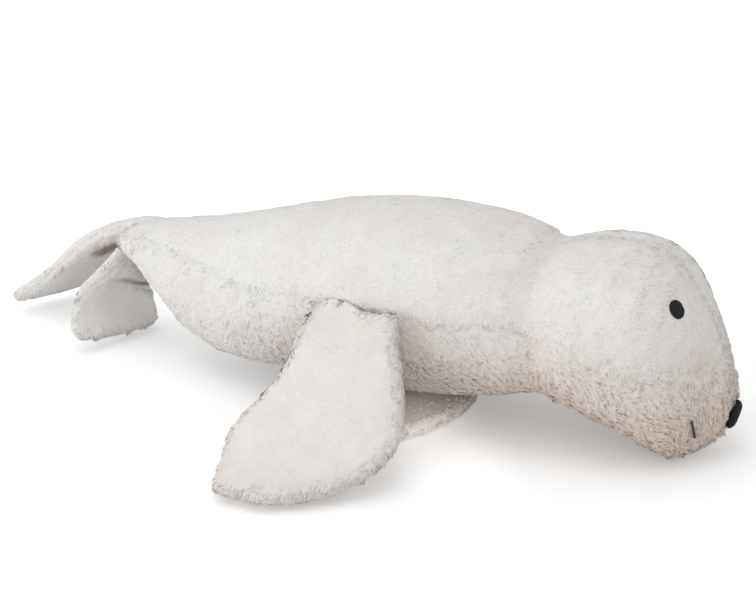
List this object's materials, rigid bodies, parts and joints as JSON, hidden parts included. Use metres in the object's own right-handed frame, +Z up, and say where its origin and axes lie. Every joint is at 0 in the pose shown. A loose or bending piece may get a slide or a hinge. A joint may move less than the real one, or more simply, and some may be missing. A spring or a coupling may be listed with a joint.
{
  "type": "plush seal",
  "caption": "Stuffed seal toy in off-white short curly pile fabric, lying on its belly, with layered fabric flippers, black eyes and nose.",
  "frame": {"origin": "on the floor under the chest, on the flat underside of the left front flipper that the chest rests on", "axes": "+X towards the nose, +Z up, +Y towards the seal's left side"},
  "size_m": [0.6836, 0.327, 0.1645],
  "materials": {
    "pile_fabric": "short, slightly curly off-white pile",
    "filling": "loose fibre filling",
    "black_felt": "dull black felt",
    "mouth_thread": "dark brown thick thread"
  },
  "bodies": {
    "root": {"back_panel": "pile_fabric", "belly_panel": "pile_fabric", "head_side_left": "pile_fabric", "head_side_right": "pile_fabric", "chin_panel": "pile_fabric", "body_filling": "filling", "front_flipper_right_upper": "pile_fabric", "front_flipper_right_lower": "pile_fabric", "front_flipper_right_filling": "filling", "front_flipper_left_upper": "pile_fabric", "front_flipper_left_lower": "pile_fabric", "front_flipper_left_filling": "filling", "tail_flipper_left_upper": "pile_fabric", "tail_flipper_left_lower": "pile_fabric", "tail_flipper_left_filling": "filling", "tail_flipper_right_upper": "pile_fabric", "tail_flipper_right_lower": "pile_fabric", "tail_flipper_right_filling": "filling", "eye_left": "black_felt", "eye_right": "black_felt", "nose": "black_felt", "mouth_stitch_left": "mouth_thread", "mouth_stitch_right": "mouth_thread"}
  },
  "joints": []
}
